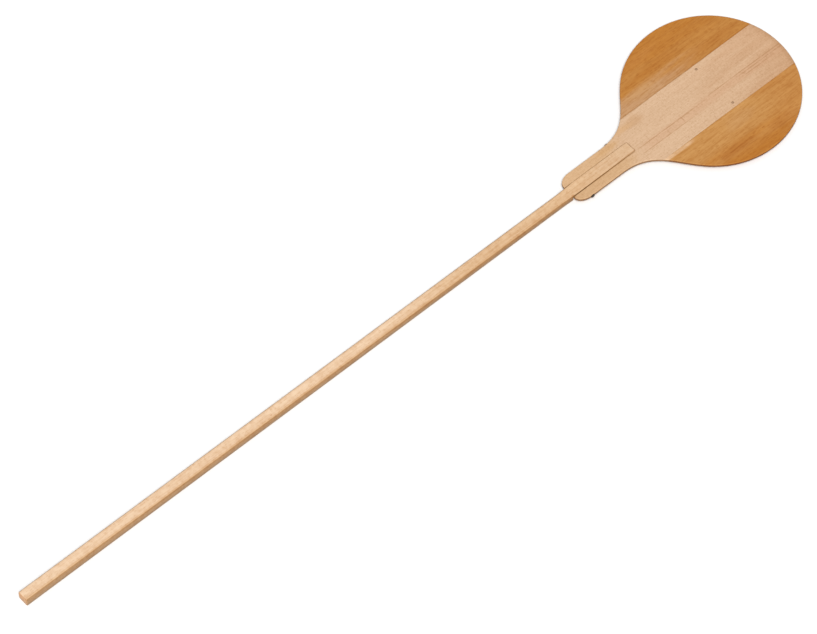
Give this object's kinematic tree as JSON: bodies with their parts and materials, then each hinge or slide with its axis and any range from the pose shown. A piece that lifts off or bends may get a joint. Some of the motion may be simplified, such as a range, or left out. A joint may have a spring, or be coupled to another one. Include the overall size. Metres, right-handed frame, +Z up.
{
  "type": "pizza peel",
  "caption": "Long-handled round wooden pizza peel: a jointed blade with a pale centre board and amber wings, planed thin to its tip, with a batten handle screwed into its forked neck.",
  "frame": {"origin": "on the surface that the peel lies on, under the middle of its whole length", "axes": "+X along the handle towards the blade's tip, +Y to the left, +Z up out of the blade's carrying face"},
  "size_m": [1.875, 0.35, 0.0225],
  "materials": {
    "centre_wood": "bare sanded beech, fine short flecks",
    "wing_wood": "bare sanded amber wood, straight banded grain",
    "handle_wood": "bare planed beech, straight grain",
    "screw_steel": "dull dark steel",
    "pin_steel": "dull stained steel, flush with the wood"
  },
  "bodies": {
    "root": {"centre_board": "centre_wood", "left_wing": "wing_wood", "right_wing": "wing_wood", "handle": "handle_wood", "left_cross_screw": "screw_steel", "right_cross_screw": "screw_steel", "left_lock_pin": "pin_steel", "right_lock_pin": "pin_steel"}
  },
  "joints": []
}
